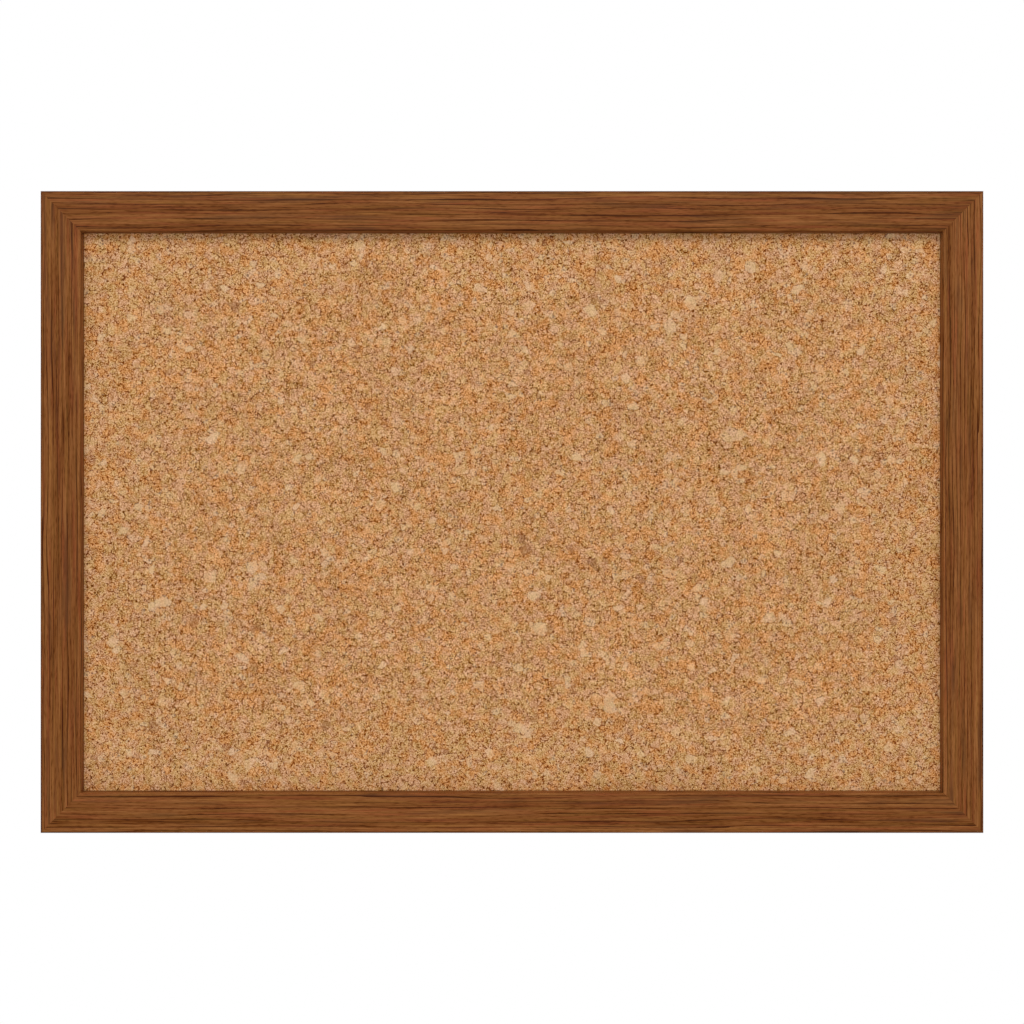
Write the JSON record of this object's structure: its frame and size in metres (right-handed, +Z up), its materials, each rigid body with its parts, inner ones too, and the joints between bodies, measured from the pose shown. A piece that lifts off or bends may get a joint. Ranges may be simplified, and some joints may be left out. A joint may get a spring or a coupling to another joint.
{
  "type": "cork board",
  "caption": "Rectangular cork pin board in a mitred wood frame, with ring hangers and bumpers behind for a wall.",
  "frame": {"origin": "centre of the board in the plane of the wall that its bumpers touch", "axes": "+X to the right seen from the front, +Z up as the board hangs, +Y from the cork towards the wall"},
  "size_m": [0.47, 0.0228, 0.32],
  "materials": {
    "frame_oak": "stained and satin lacquered oak",
    "cork": "fine agglomerated cork, raw",
    "softboard": "raw wood-fibre insulating board",
    "hardboard": "smooth pressed hardboard",
    "zinc_steel": "bright zinc plated",
    "bare_steel": "oiled spring steel",
    "rubber": "moulded, matt"
  },
  "bodies": {
    "board": {"top_rail": "frame_oak", "bottom_rail": "frame_oak", "left_stile": "frame_oak", "right_stile": "frame_oak", "cork_sheet": "cork", "core_board": "softboard", "back_panel": "hardboard", "wedge_top_right_1": "bare_steel", "wedge_top_right_2": "bare_steel", "wedge_bottom_right_1": "bare_steel", "wedge_bottom_right_2": "bare_steel", "wedge_bottom_left_1": "bare_steel", "wedge_bottom_left_2": "bare_steel", "wedge_top_left_1": "bare_steel", "wedge_top_left_2": "bare_steel", "point_top_1": "bare_steel", "point_top_2": "bare_steel", "point_top_3": "bare_steel", "point_bottom_1": "bare_steel", "point_bottom_2": "bare_steel", "point_bottom_3": "bare_steel", "point_left_1": "bare_steel", "point_left_2": "bare_steel", "point_right_1": "bare_steel", "point_right_2": "bare_steel", "hanger_strap_left": "zinc_steel", "hanger_screw_left": "zinc_steel", "hanger_strap_right": "zinc_steel", "hanger_screw_right": "zinc_steel", "bumper_left": "rubber", "bumper_right": "rubber"},
    "left_ring": {"hanger_ring_left": "zinc_steel"},
    "right_ring": {"hanger_ring_right": "zinc_steel"}
  },
  "joints": [
    {"name": "left_ring_swing", "type": "hinge", "parent": "board", "child": "left_ring", "pos_m": [-0.228, -0.002, 0.1], "axis": [1, 0, 0], "range_deg": [0, 179]},
    {"name": "right_ring_swing", "type": "hinge", "parent": "board", "child": "right_ring", "pos_m": [0.228, -0.002, 0.1], "axis": [1, 0, 0], "range_deg": [0, 179]}
  ]
}
